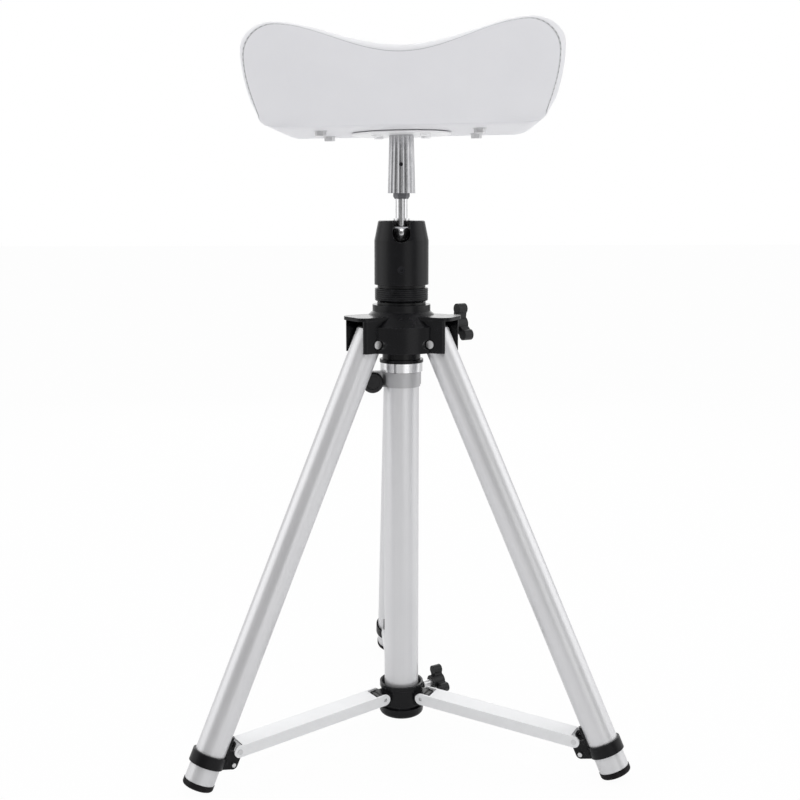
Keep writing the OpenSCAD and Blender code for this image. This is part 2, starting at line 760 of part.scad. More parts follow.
module inner_column() {
    color([0.80, 0.81, 0.83]) on_stand() tube(inner_r, inner_r - inner_wall, inner_low, inner_l);
}

module column_foot_plug() {
    color([0.1, 0.1, 0.11]) on_stand() {
        translate([0, 0, inner_low - foot_plug_h]) cylinder(r = plug_r, h = foot_plug_h, $fn = round_fn);
        translate([0, 0, inner_low]) cylinder(r = inner_r - inner_wall - fit, h = plug_h, $fn = round_fn);
    }
}

module head_adaptor() {
    color([0.06, 0.06, 0.065]) on_stand() {
        translate([0, 0, adaptor_low]) cylinder(r = adaptor_r, h = adaptor_t, $fn = round_fn);
        translate([0, 0, adaptor_low - adaptor_spigot])
            cylinder(r = inner_r - inner_wall - fit, h = adaptor_spigot, $fn = round_fn);
        translate([0, 0, adaptor_low + adaptor_t])
            cylinder(r = adaptor_stud_r, h = stud_top - adaptor_low - adaptor_t, $fn = small_fn);
    }
}

// Black head: a turned body with a conical top, a ball socket and a slot for the stem
module head_body() {
    color([0.06, 0.065, 0.075]) on_stand() rotate([0, 0, head_yaw]) difference() {
        rotate_extrude($fn = round_fn) polygon([
            [adaptor_stud_r + stud_play, head_low], [skirt_r, head_low], [skirt_r, ring_top + gap],
            [groove_r, ring_top + gap], [groove_r, head_body_low], [head_r, head_body_low + head_edge_h],
            [head_r, head_shoulder], [head_top_r + head_edge_w, head_top - 1.2 * head_edge_h], [head_top_r, head_top],
            [mouth_top_r, head_top], [mouth_low_r, mouth_low], [0, mouth_low], [0, cavity_low],
            [adaptor_stud_r + stud_play, cavity_low]]);
        translate([0, 0, cavity_low]) cylinder(r = socket_bore, h = ball_z - cavity_low, $fn = round_fn);
        translate([0, 0, ball_z]) sphere(r = seat_r, $fn = round_fn);
        translate([0, 0, ball_z]) rotate([90, 0, 0])
            cylinder(r = notch_w / 2, h = 2 * head_r, $fn = round_fn);
        translate([-notch_w / 2, -2 * head_r, ball_z]) cube([notch_w, 2 * head_r, 2 * head_r]);
        translate([0, 0, grub_z]) rotate([90, 0, 0]) cylinder(r = grub_r + fit, h = 2 * head_r, $fn = small_fn);
    }
}

module ball_cup() {
    color([0.35, 0.35, 0.36]) on_stand() difference() {
        translate([0, 0, cup_low]) cylinder(r = socket_bore - run, h = ball_z - cup_low - cup_rim, $fn = round_fn);
        translate([0, 0, ball_z]) sphere(r = seat_r, $fn = round_fn);
        rotate([0, 0, head_yaw]) translate([0, 0, ball_z]) rotate([90, 0, 0])
            cylinder(r = notch_w / 2, h = 2 * head_r, $fn = round_fn);
    }
}

// Pair of spring washers under the cup
module cup_washer() {
    washer_play = 0.4;
    washer_r = socket_bore - washer_play;
    washer_in = 3;
    washer_step = 1;
    washer_t = 2.5;
    color([0.55, 0.55, 0.57]) on_stand() for (k = [0, 1])
        tube(washer_r - k * washer_step, washer_in, cavity_low + fit + k * washer_t, washer_t - fit);
}

module head_grub_screw() {
    socket_af = 1.6;
    sunk = 1.6;
    socket_deep = 2.4;
    color([0.1, 0.1, 0.11]) on_stand() rotate([0, 0, head_yaw]) translate([0, -head_r + sunk, grub_z])
        rotate([-90, 0, 0])
        difference() {
            cylinder(r = grub_r, h = head_r - socket_bore - 1.25 * sunk, $fn = small_fn);
            translate([0, 0, -over]) cylinder(r = socket_af, h = over + socket_deep, $fn = 6);
        }
}

module lock_ring() {
    rib_d = 0.35;
    rib_shares = [0.3, 0.5, 0.7];
    rib_start = 2;
    edge = 0.5;
    lift = 0.3;
    rib_pitch = (ring_top - head_low - rib_start - 2 * lift) / rib_n;
    color([0.06, 0.065, 0.075]) on_stand() rotate_extrude($fn = round_fn) polygon(concat(
        [[skirt_r + gap, head_low + lift], [lock_ring_r - rib_start, head_low + lift],
         [lock_ring_r - edge, head_low + 2 * edge], [lock_ring_r, head_low + rib_start]],
        [for (k = [0:rib_n - 1], p = rib_shares) [lock_ring_r - (p == rib_shares[1] ? rib_d : 0),
            head_low + rib_start + (k + p) * rib_pitch]],
        [[lock_ring_r, ring_top - edge], [lock_ring_r - edge, ring_top], [skirt_r + gap, ring_top]]));
}

module ball_stem() {
    color([0.82, 0.82, 0.84]) on_stand() {
        translate([0, 0, ball_z]) sphere(r = ball_r, $fn = round_fn);
        translate([0, 0, neck_collar_low - 3 * neck_bevel / 4])
            cylinder(r1 = neck_collar_r - neck_bevel, r2 = neck_collar_r, h = neck_bevel, $fn = round_fn);
        translate([0, 0, neck_collar_low + neck_bevel / 4])
            cylinder(r = neck_collar_r, h = neck_collar_h - neck_bevel / 4, $fn = round_fn);
        translate([0, 0, neck_collar_low]) cylinder(r = rod_r, h = rod_top - neck_collar_low, $fn = round_fn);
    }
}

module jam_nut() {
    color([0.3, 0.3, 0.31]) on_stand() difference() {
        union() {
            translate([0, 0, socket_low - nut_h]) cylinder(r = nut_r, h = nut_h, $fn = 6);
            translate([0, 0, socket_low - nut_h - nut_cone_h])
                cylinder(r1 = rod_r + nut_cone_step, r2 = nut_r, h = nut_cone_h, $fn = 6);
        }
        translate([0, 0, socket_low - nut_h - nut_cone_h - over])
            cylinder(r = rod_r + fit, h = nut_h + nut_cone_h + 2 * over, $fn = round_fn);
    }
}

// Frame of the flange, the board and the cushion, which turn and lean on the socket
module pad_frame() {
    rotate([0, 0, cushion_yaw]) translate([0, 0, socket_top]) rotate([0, -cushion_roll, 0])
        translate([0, 0, -socket_top]) children();
}

// Die-cast socket with flutes: a tapered body between twelve shallow hollows
module fluted_socket() {
    flute_steps = 6;
    color([0.78, 0.79, 0.81]) on_stand() rotate([0, 0, cushion_yaw]) difference() {
        translate([0, 0, socket_low]) linear_extrude(socket_l, scale = socket_top_r / socket_r)
            polygon([for (k = [0:flute_n - 1], j = [0:flute_steps - 1])
                let (a = (k + j / flute_steps) * 360 / flute_n,
                     r = socket_r * (1 - flute_share * pow(1 - abs(2 * j / flute_steps - 1), 2)))
                [r * sin(a), -r * cos(a)]]);
        translate([0, 0, socket_low - over]) cylinder(r = rod_r + fit, h = rod_top - socket_low + over, $fn = round_fn);
        translate([0, 0, pin_z]) rotate([90, 0, 0])
            cylinder(r = socket_pin_r + fit, h = 2 * socket_r, $fn = small_fn);
    }
}

module socket_pin() {
    pin_seat = 0.2;
    color([0.3, 0.3, 0.31]) on_stand() rotate([0, 0, cushion_yaw]) translate([0, -rod_r - pin_seat, pin_z])
        rotate([90, 0, 0]) cylinder(r = socket_pin_r, h = socket_r - rod_r - 7 * pin_seat, $fn = small_fn);
}

module mount_flange() {
    color([0.85, 0.85, 0.87]) on_stand() pad_frame() difference() {
        translate([0, 0, socket_top + flange_seat]) rotate_extrude($fn = round_fn) polygon([[0, 0],
            [flange_r - flange_bevel, 0], [flange_r, flange_bevel], [flange_r, flange_t],
            [spacer_r, flange_t], [spacer_r, flange_t + spacer_t], [0, flange_t + spacer_t]]);
        for (k = [0:3]) rotate([0, 0, 45 + 90 * k]) translate([flange_screw_pcd, 0, socket_top - over])
            cylinder(r = flange_screw_r + fit, h = flange_t + spacer_t + 2 * over, $fn = small_fn);
    }
}

module flange_screws() {
    head_h = 1.6;
    screw_l = 9;
    color([0.75, 0.75, 0.77]) on_stand() pad_frame() for (k = [0:3]) rotate([0, 0, 45 + 90 * k])
        translate([flange_screw_pcd, 0, socket_top + flange_seat]) {
            translate([0, 0, -head_h]) cylinder(r = 2 * flange_screw_r, h = head_h, $fn = small_fn);
            cylinder(r = flange_screw_r, h = screw_l, $fn = small_fn);
        }
}

// Places of the four bolts that hold the cushion's inner plate to the board
module at_bolts() {
    pad_frame() for (sx = [-1, 1], sy = [-1, 1]) translate([sx * bolt_x, sy * bolt_y, 0]) children();
}

module board_outline(extra = 0) {
    hx = board_half_x - board_round;
    hy = board_half_y - board_round;
    union() {
        translate([-hx, -hy - board_round - extra]) square([2 * hx, 2 * (hy + board_round + extra)]);
        translate([-hx - board_round - extra, -hy]) square([2 * (hx + board_round + extra), 2 * hy]);
        for (sx = [-1, 1], sy = [-1, 1]) translate([sx * hx, sy * hy]) circle(board_round + extra, $fn = small_fn);
    }
}

module base_board() {
    color([0.70, 0.58, 0.42]) on_stand() difference() {
        pad_frame() translate([0, 0, board_low]) linear_extrude(board_t) board_outline();
        at_bolts() {
            translate([0, 0, board_low - over]) cylinder(r = tee_barrel_r + fit, h = board_t + 2 * over, $fn = small_fn);
            translate([0, 0, board_top - tee_flange_t])
                cylinder(r = tee_flange_r + fit, h = tee_flange_t + over, $fn = small_fn);
        }
        pad_frame() for (k = [0:3]) rotate([0, 0, 45 + 90 * k])
            translate([flange_screw_pcd, 0, board_low - over])
                cylinder(r = flange_screw_r + fit, h = board_t, $fn = small_fn);
    }
}

module board_bolts() {
    color([0.62, 0.60, 0.57]) on_stand() at_bolts() {
        translate([0, 0, board_low - bolt_washer_t]) cylinder(r = bolt_washer_r, h = bolt_washer_t, $fn = small_fn);
        translate([0, 0, board_low - bolt_washer_t - bolt_head_h]) cylinder(r = bolt_head_r, h = bolt_head_h, $fn = 6);
        translate([0, 0, board_low]) cylinder(r = bolt_r, h = board_t - tee_flange_t, $fn = small_fn);
    }
}

module board_tee_nuts() {
    color([0.75, 0.75, 0.77]) on_stand() at_bolts() difference() {
        union() {
            translate([0, 0, board_low + board_t / 3]) cylinder(r = tee_barrel_r, h = board_t * 2 / 3, $fn = small_fn);
            translate([0, 0, board_top - tee_flange_t]) cylinder(r = tee_flange_r, h = tee_flange_t, $fn = small_fn);
        }
        translate([0, 0, board_low]) cylinder(r = bolt_r + fit, h = board_t - tee_flange_t, $fn = small_fn);
    }
}

// Cushion: rings of the saddle outline are lofted from the front seam to the rear seam and swell between them
crest_share = 0.80;
side_turn_share = 0.70;
crown_drop = 0.3;
dip_power = 0.9;
cushion_shift = 3;
top_n = 20;
side_n = 6;
ring_n = 12;
face_dome = 5;

// Height of the seam outline over the base at x
function saddle_top(x) = let (c = crest_share * cushion_half)
    crest_h - (crest_h - saddle_h) * pow((1 + cos(180 * min(1, abs(x) / c))) / 2, dip_power);
// Half of the outline, from the base up the right side and over to the middle
function side_points() = let (base = cushion_half * tuck_share, wide = base + tuck_w) concat(
    [for (a = [0:30:60]) [base + tuck_w * sin(a), tuck_h * (1 - cos(a))]],
    [for (k = [0:side_n - 1]) let (t = k / side_n)
        [wide + (cushion_half - wide) * sin(90 * t), tuck_h + (crest_h * side_turn_share - tuck_h) * t]]);
function shoulder_points() = let (c = crest_share * cushion_half, h = crest_h * side_turn_share)
    [for (a = [0:15:75]) [c + (cushion_half - c) * cos(a), h + (crest_h - h) * sin(a)]];
function top_points() = let (c = crest_share * cushion_half)
    [for (k = [0:top_n]) let (x = c * (1 - 2 * k / top_n)) [x, saddle_top(x)]];
function half_points() = concat(side_points(), shoulder_points());
function outline_points() = concat(half_points(), top_points(),
    [for (k = [len(half_points()) - 1:-1:0]) [-half_points()[k][0], half_points()[k][1]]]);
// How far a ring at share s of the depth (-1 to 1) has swollen
function swollen(s) = pow(max(0, 1 - s * s), 0.8);
function crown_at(z) = crown_h * (z < saddle_h ? z / saddle_h : 1 - crown_drop * (z - saddle_h) / (crest_h - saddle_h));
// The cover turns under the board at the front and rear, so the lowest edge lifts towards the seams
function lifted(z, s) = z + tuck_up * pow(abs(s), 12) * max(0, 1 - z / (2 * tuck_up));
function ring_points(s) = [for (p = outline_points())
    [p[0] * (1 + swell / cushion_half * swollen(s) * min(1, p[1] / (2 * tuck_h))), s * cushion_d / 2,
     lifted(p[1], s) + crown_at(p[1]) * swollen(s)]];
// Closing ring of a face, drawn in and domed
function face_points(side, k) = [for (p = outline_points())
    [p[0] * k, side * (cushion_d / 2 + face_dome * (1 - k * k)),
     lifted(p[1], 1) * k + (1 - k) * saddle_h / 2]];

module cushion_form() {
    face_shares = [0.35, 0.8];
    n = len(outline_points());
    rings = concat([for (k = face_shares) face_points(-1, k)],
        [for (k = [0:ring_n]) ring_points(-cos(180 * k / ring_n))],
        [for (k = [face_shares[1], face_shares[0]]) face_points(1, k)]);
    m = len(rings);
    points = [for (r = rings) for (p = r) p];
    walls = [for (j = [0:m - 2], k = [0:n - 1], half = [0, 1]) let (a = j * n + k, b = j * n + (k + 1) % n)
        half == 0 ? [a, b, b + n] : [a, b + n, a + n]];
    polyhedron(points, concat([[for (k = [n - 1:-1:0]) k]], walls, [[for (k = [0:n - 1]) (m - 1) * n + k]]));
}

module cushion() {
    color([0.87, 0.87, 0.89]) on_stand() pad_frame() translate([0, 0, board_low]) difference() {
        translate([cushion_shift, 0, 0]) cushion_form();
        translate([0, 0, -over]) linear_extrude(board_t + gap + over) board_outline(gap);
    }
}

hub_casting();
neck_sleeve();
outer_column();
guide_bush();
column_end_cap();
slotted_ring();
clamp_band();
clamp_nut();
clamp_screw();
round_knob();
hub_knob_screw();
hub_knob();
leg_pivot_pins();
leg_tube(0);  // leg_tube_1
leg_tube(1);  // leg_tube_2
leg_tube(2);  // leg_tube_3
leg_plug(0);  // leg_plug_1
leg_plug(1);  // leg_plug_2
leg_plug(2);  // leg_plug_3
foot_cap(0);  // foot_cap_1
foot_cap(1);  // foot_cap_2
foot_cap(2);  // foot_cap_3
leg_clamp(0);  // leg_clamp_1
leg_clamp(1);  // leg_clamp_2
leg_clamp(2);  // leg_clamp_3
clamp_bolt(0);  // clamp_bolt_1
clamp_bolt(1);  // clamp_bolt_2
clamp_bolt(2);  // clamp_bolt_3
brace(0);  // brace_1
brace(1);  // brace_2
brace(2);  // brace_3
brace_rivets(0);  // brace_rivets_1
brace_rivets(1);  // brace_rivets_2
brace_rivets(2);  // brace_rivets_3
brace_collar();
collar_pins();
collar_knob_screw();
collar_knob();
inner_column();
column_foot_plug();
head_adaptor();
head_body();
ball_cup();
cup_washer();
head_grub_screw();
lock_ring();
ball_stem();
jam_nut();
fluted_socket();
socket_pin();
mount_flange();
flange_screws();
base_board();
board_bolts();
board_tee_nuts();
cushion();
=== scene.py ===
import math

import bmesh
import bpy
from mathutils import Euler, Matrix, Vector


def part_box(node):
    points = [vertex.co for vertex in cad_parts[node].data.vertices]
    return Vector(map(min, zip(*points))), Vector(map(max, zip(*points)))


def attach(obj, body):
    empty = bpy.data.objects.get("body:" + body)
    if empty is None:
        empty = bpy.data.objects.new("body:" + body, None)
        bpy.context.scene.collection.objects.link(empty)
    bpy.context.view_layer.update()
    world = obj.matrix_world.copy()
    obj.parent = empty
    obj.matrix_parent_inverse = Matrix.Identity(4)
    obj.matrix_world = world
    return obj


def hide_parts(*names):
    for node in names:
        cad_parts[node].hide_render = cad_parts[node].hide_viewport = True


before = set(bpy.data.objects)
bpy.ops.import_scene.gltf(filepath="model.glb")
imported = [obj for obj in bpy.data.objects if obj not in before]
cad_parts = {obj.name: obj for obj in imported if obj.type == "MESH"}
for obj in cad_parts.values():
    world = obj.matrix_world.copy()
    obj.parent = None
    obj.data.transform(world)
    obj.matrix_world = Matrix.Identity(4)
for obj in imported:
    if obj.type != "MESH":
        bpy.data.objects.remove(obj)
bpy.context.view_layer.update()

# Camera.
# One camera on a stand in front of the footrest, a little above the hub and looking slightly down, with its
# lens level from side to side.
sensor_width = 36
focal_pixels = 1145
picture_pixels = 800
camera_distance = 0.968
camera_aside = 0.00123
camera_height = 0.4684
camera_down = 9.75
camera_turn = -3.62
column_low, column_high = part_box("outer_column")
column_axis = Vector(((column_low.x + column_high.x) / 2, (column_low.y + column_high.y) / 2, 0))
camera_data = bpy.data.cameras.new("studio_camera")
camera_data.sensor_width = sensor_width
camera_data.lens = sensor_width * focal_pixels / picture_pixels
camera = bpy.data.objects.new("studio_camera", camera_data)
bpy.context.scene.collection.objects.link(camera)
facing = math.radians(camera_turn)
away = Vector((math.sin(facing), -math.cos(facing), 0))
aside = Vector((math.cos(facing), math.sin(facing), 0))
camera.location = (column_axis + camera_distance * away - camera_aside * aside
                   + Vector((0, 0, camera_height)))
camera.rotation_euler = Euler((math.radians(90 - camera_down), 0, facing))
bpy.context.scene.camera = camera

bpy.context.scene.view_settings.view_transform = "Standard"

# Studio.
# A wide pale floor that takes a soft shadow, between window lamps at the left and right, with two lamps in
# front, two low ones at the sides, and a bright wall behind that shows in every face that looks up.


class Wire:
    """A value on its way through a finish: sums and products of wires add Math nodes."""

    def __init__(self, finish, socket):
        self.finish = finish
        self.socket = socket

    def maths(self, operation, *values):
        return self.finish.node("ShaderNodeMath", {"operation": operation}, values)

    def __add__(self, other):
        return self.maths("ADD", self, other)

    def __sub__(self, other):
        return self.maths("SUBTRACT", self, other)

    def __rsub__(self, other):
        return self.maths("SUBTRACT", other, self)

    def __mul__(self, other):
        return self.maths("MULTIPLY", self, other)

    __radd__ = __add__
    __rmul__ = __mul__


class Finish:
    """One material. Sockets that are the same all over are given once; show() wires the varying ones."""

    def __init__(self, name, **plain):
        self.material = bpy.data.materials.new(name)
        self.material.use_nodes = True
        self.tree = self.material.node_tree
        self.shader = self.tree.nodes["Principled BSDF"]
        for socket, value in plain.items():
            self.shader.inputs[socket.replace("_", " ")].default_value = value

    def node(self, kind, settings=None, values=(), out=0):
        made = self.tree.nodes.new(kind)
        for key, value in (settings or {}).items():
            setattr(made, key, value)
        for key, value in values.items() if isinstance(values, dict) else enumerate(values):
            if isinstance(value, Wire):
                self.tree.links.new(value.socket, made.inputs[key])
            else:
                made.inputs[key].default_value = value
        return Wire(self, made.outputs[out])

    def show(self, **varying):
        for socket, value in varying.items():
            self.tree.links.new(value.socket, self.shader.inputs[socket.replace("_", " ")])

    def place(self):
        return self.node("ShaderNodeTexCoord", out="Object")

    def noise(self, where, scale, detail=3.0, rough=0.5):
        return self.node("ShaderNodeTexNoise", values={"Vector": where, "Scale": scale, "Detail": detail,
                                                       "Roughness": rough})

    def ramp(self, value, low, high):
        return self.node("ShaderNodeMapRange", {"clamp": True},
                         {"Value": value, "From Min": low, "From Max": high})

    def dot(self, first, second):
        return self.node("ShaderNodeVectorMath", {"operation": "DOT_PRODUCT"}, [first, second], out=1)

    def blend(self, share, first, second):
        """Mixes two colours: a Mix node takes them at inputs 6 and 7 and gives the result at output 2."""
        values = {"Factor": share, 6: first, 7: second}
        return self.node("ShaderNodeMix", {"data_type": "RGBA"}, values, out=2)

    def bump(self, height, distance, strength=1.0, normal=None):
        values = {"Strength": strength, "Distance": distance, "Height": height}
        if normal is not None:
            values["Normal"] = normal
        return self.node("ShaderNodeBump", values=values)

    def on(self, *names):
        for name in names:
            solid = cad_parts[name]
            solid.data.materials.clear()
            solid.data.materials.append(self.material)


floor_size = 12
floor_drop = 0.0004
seen_directly, seen_mirrored, seen_through = 0.965, 0.30, 0.45
floor_mesh = bpy.data.meshes.new("studio_floor")
floor_form = bmesh.new()
bmesh.ops.create_grid(floor_form, x_segments=1, y_segments=1, size=floor_size)
floor_form.to_mesh(floor_mesh)
floor_form.free()
floor = bpy.data.objects.new("studio_floor", floor_mesh)
bpy.context.scene.collection.objects.link(floor)
floor.location = (0, 0, -floor_drop)
paper = Finish("pale_paper", Base_Color=(0.88, 0.88, 0.885, 1), Roughness=0.9)
floor_mesh.materials.append(paper.material)
ray = paper.tree.nodes.new("ShaderNodeLightPath")
seen = (Wire(paper, ray.outputs["Is Camera Ray"]) * seen_directly
        + Wire(paper, ray.outputs["Is Glossy Ray"]) * seen_mirrored
        + Wire(paper, ray.outputs["Is Transmission Ray"]) * seen_through)
glow = paper.tree.nodes.new("ShaderNodeEmission")
glow.inputs["Color"].default_value = (1, 1, 1, 1)
paper_mix = paper.tree.nodes.new("ShaderNodeMixShader")
paper.tree.links.new(seen.socket, paper_mix.inputs[0])
paper.tree.links.new(paper.shader.outputs[0], paper_mix.inputs[1])
paper.tree.links.new(glow.outputs[0], paper_mix.inputs[2])
paper.tree.links.new(paper_mix.outputs[0], paper.tree.nodes["Material Output"].inputs["Surface"])

air_plain = 0.46
air_behind, air_above = 0.34, 0.20
world = bpy.data.worlds.new("studio_world")
bpy.context.scene.world = world
world.use_nodes = True
air = world.node_tree
air.nodes["Background"].inputs["Color"].default_value = (1, 1, 1, 1)
air_from = air.nodes.new("ShaderNodeTexCoord")
air_slope = air.nodes.new("ShaderNodeVectorMath")
air_slope.operation = "DOT_PRODUCT"
air_slope.inputs[1].default_value = (0, air_behind, air_above)
air_level = air.nodes.new("ShaderNodeMath")
air_level.inputs[1].default_value = air_plain
air.links.new(air_from.outputs["Generated"], air_slope.inputs[0])
air.links.new(air_slope.outputs["Value"], air_level.inputs[0])
air.links.new(air_level.outputs[0], air.nodes["Background"].inputs["Strength"])
air_seen = air.nodes.new("ShaderNodeBackground")
air_seen.inputs["Color"].default_value = (1, 1, 1, 1)
air_mix = air.nodes.new("ShaderNodeMixShader")
air_ray = air.nodes.new("ShaderNodeLightPath")
air.links.new(air_ray.outputs["Is Camera Ray"], air_mix.inputs[0])
air.links.new(air.nodes["Background"].outputs[0], air_mix.inputs[1])
air.links.new(air_seen.outputs[0], air_mix.inputs[2])
air.links.new(air_mix.outputs[0], air.nodes["World Output"].inputs["Surface"])

lamps_aim = Vector((0, 0, 0.33))
for lamp_name, power, side, place in (("left_window", 4.6, 1.4, (-1.50, -0.10, 0.90)),
                                      ("right_window", 4.8, 1.4, (1.50, -0.10, 0.90)),
                                      ("soft_right", 1.7, 0.8, (0.62, -1.36, 0.43)),
                                      ("front_high", 8.5, 0.8, (0.0, -1.30, 1.70)),
                                      ("back_wall", 5.0, 1.2, (0.0, 1.55, 0.85)),
                                      ("low_left", 1.0, 0.9, (-1.05, 0.00, 0.47)),
                                      ("low_right", 1.0, 0.9, (1.05, 0.00, 0.47))):
    lamp_data = bpy.data.lights.new(lamp_name, "AREA")
    lamp_data.shape = "SQUARE"
    lamp_data.size = side
    lamp_data.energy = power
    lamp = bpy.data.objects.new(lamp_name, lamp_data)
    bpy.context.scene.collection.objects.link(lamp)
    lamp.location = Vector(place) + column_axis
    lamp.rotation_euler = (column_axis + lamps_aim - lamp.location).to_track_quat("-Z", "Y").to_euler()

# Column and legs.
# Drawn aluminium tubes with a satin anodised skin: faint draw lines run along each tube, and handling has
# left slightly duller patches.
leg_directions = {1: 90, 2: 210, 3: 330}
leg_splay = math.radians(25.1)
drawn_out = 0.004
along_no_tube = Vector((0.3, 0.9, 0.1))
tube_dull, tube_light = (0.66, 0.66, 0.675, 1), (0.76, 0.76, 0.77, 1)


def drawn_tube(name, along):
    tube = Finish(name, Metallic=0.5, IOR=1.45)
    where = tube.place()
    along = Vector(along).normalized()
    side = along.cross(along_no_tube).normalized()
    other = along.cross(side)
    parts = []
    for axis, stretch in ((side, 1.0), (other, 1.0), (along, drawn_out)):
        parts.append(tube.dot(where, tuple(axis)) * stretch)
    run = tube.node("ShaderNodeCombineXYZ", values=parts)
    lines = tube.noise(run, scale=1400.0, detail=2.0, rough=0.6)
    patches = tube.noise(where, scale=22.0, detail=4.0, rough=0.55)
    tube.show(Base_Color=tube.blend(patches * 0.5 + lines * 0.5, tube_dull, tube_light),
              Roughness=0.27 + lines * 0.10 + patches * 0.06,
              Normal=tube.bump(lines, distance=0.00004, strength=0.5))
    return tube


drawn_tube("satin_aluminium", (0, 0, 1)).on("outer_column", "inner_column")
for leg, direction in leg_directions.items():
    turn = math.radians(direction)
    drawn_tube(f"satin_aluminium_leg_{leg}", (math.cos(turn) * math.sin(leg_splay),
                                              math.sin(turn) * math.sin(leg_splay),
                                              -math.cos(leg_splay))).on(f"leg_tube_{leg}")

# Rubber feet.
# Moulded rubber caps pushed on the tubes' ends, matt black and a little scuffed where they stand.
rubber_black, rubber_scuffed = (0.005, 0.004, 0.005, 1), (0.020, 0.018, 0.019, 1)
rubber = Finish("foot_rubber", IOR=1.28)
rubber_where = rubber.place()
rubber_grain = rubber.noise(rubber_where, scale=2600.0, detail=3.0)
rubber_scuff = rubber.noise(rubber_where, scale=160.0, detail=4.0)
rubber_worn = rubber.ramp(rubber_scuff, low=0.45, high=0.8)
rubber.show(Base_Color=rubber.blend(rubber_worn, rubber_black, rubber_scuffed),
            Roughness=0.55 + rubber_grain * 0.25,
            Normal=rubber.bump(rubber_grain, distance=0.0001, strength=0.5))
rubber.on("foot_cap_1", "foot_cap_2", "foot_cap_3")

# Braces.
# Folded aluminium channels with a pale, almost white satin skin; their sheared edges are brighter.
edge_turn, flat_turn = 0.90, 0.995
knocked_reach, sheared_reach = 0.0012, 0.0006


def worn_edges(finish, reach=knocked_reach):
    """1 on the outer edges of a solid, 0 on its flats, from the bevelled normal's turn."""
    round_normal = finish.node("ShaderNodeBevel", {"samples": 4}, {"Radius": reach})
    flat_normal = finish.node("ShaderNodeNewGeometry", out="Normal")
    return finish.ramp(finish.dot(round_normal, flat_normal), flat_turn, edge_turn)


channel_dull, channel_light = (0.78, 0.785, 0.795, 1), (0.88, 0.885, 0.895, 1)
sheared_bright = (0.93, 0.93, 0.94, 1)
channel = Finish("channel_skin", Metallic=0.15, IOR=1.5)
channel_where = channel.place()
channel_cloud = channel.noise(channel_where, scale=60.0, detail=4.0)
channel_fine = channel.noise(channel_where, scale=1500.0, detail=2.0)
channel_edge = worn_edges(channel, sheared_reach)
channel_pale = channel.blend(channel_cloud, channel_dull, channel_light)
channel.show(Base_Color=channel.blend(channel_edge, channel_pale, sheared_bright),
             Roughness=0.38 + channel_cloud * 0.12,
             Normal=channel.bump(channel_fine, distance=0.00004, strength=0.5))
channel.on("brace_1", "brace_2", "brace_3")

# Rivets, bolts and screws.
# Zinc-plated steel, cool grey and slightly cloudy; the tee nuts sit in the board, behind the cover.
zinc_dull, zinc_bright = (0.52, 0.52, 0.53, 1), (0.80, 0.80, 0.80, 1)
zinc = Finish("zinc_plate", Metallic=1.0)
zinc_where = zinc.place()
zinc_cloud = zinc.noise(zinc_where, scale=420.0, detail=5.0, rough=0.6)
zinc.show(Base_Color=zinc.blend(zinc_cloud, zinc_dull, zinc_bright),
          Roughness=0.22 + zinc_cloud * 0.22,
          Normal=zinc.bump(zinc_cloud, distance=0.00005, strength=0.4))
zinc.on("leg_pivot_pins", "brace_rivets_1", "brace_rivets_2", "brace_rivets_3", "collar_pins", "clamp_bolt_1",
        "clamp_bolt_2", "clamp_bolt_3", "clamp_nut", "clamp_screw", "hub_knob_screw", "collar_knob_screw",
        "board_tee_nuts", "board_bolts")

# Black castings.
# Zinc castings under gloss black enamel: a faint orange peel, and the edges worn a shade lighter.
enamel_black, enamel_dusty = (0.0018, 0.0019, 0.0024, 1), (0.005, 0.005, 0.0065, 1)
enamel_worn = (0.05, 0.05, 0.055, 1)


def enamel(name, peel, rough, wear):
    coat = Finish(name, IOR=1.30)
    where = coat.place()
    skin = coat.noise(where, scale=peel, detail=3.0)
    dust = coat.noise(where, scale=130.0, detail=5.0, rough=0.65)
    edge = worn_edges(coat) * coat.ramp(coat.noise(where, scale=240.0, detail=3.0), low=0.35, high=0.7)
    black = coat.blend(dust, enamel_black, enamel_dusty)
    coat.show(Base_Color=coat.blend(edge * wear, black, enamel_worn),
              Roughness=rough + dust * 0.12,
              Normal=coat.bump(skin, distance=0.00006, strength=0.35))
    return coat


hub_enamel = enamel("hub_enamel", peel=900.0, rough=0.20, wear=0.5)
hub_enamel.on("hub_casting", "head_adaptor", "brace_collar", "column_end_cap", "neck_sleeve")
head_enamel = enamel("head_enamel", peel=1500.0, rough=0.26, wear=0.4)
head_enamel.on("head_body", "lock_ring")
bracket_enamel = enamel("bracket_enamel", peel=1200.0, rough=0.28, wear=0.7)
bracket_enamel.on("leg_clamp_1", "leg_clamp_2", "leg_clamp_3", "leg_plug_1", "leg_plug_2", "leg_plug_3")

# Knobs.
# Moulded nylon grips, black, with a fine spark-eroded grain.
nylon_black, nylon_rubbed = (0.004, 0.004, 0.005, 1), (0.010, 0.010, 0.011, 1)
nylon = Finish("knob_nylon", IOR=1.42)
nylon_where = nylon.place()
nylon_grain = nylon.noise(nylon_where, scale=3200.0, detail=2.0, rough=0.7)
nylon_wear = nylon.noise(nylon_where, scale=180.0, detail=4.0)
nylon.show(Base_Color=nylon.blend(nylon_wear, nylon_black, nylon_rubbed),
           Roughness=0.30 + nylon_grain * 0.22,
           Normal=nylon.bump(nylon_grain, distance=0.00006, strength=0.5))
nylon.on("hub_knob", "collar_knob", "round_knob", "guide_bush", "column_foot_plug", "ball_cup")

# Neck rings.
# A bright turned ring over a grey band: lathe lines run round both.


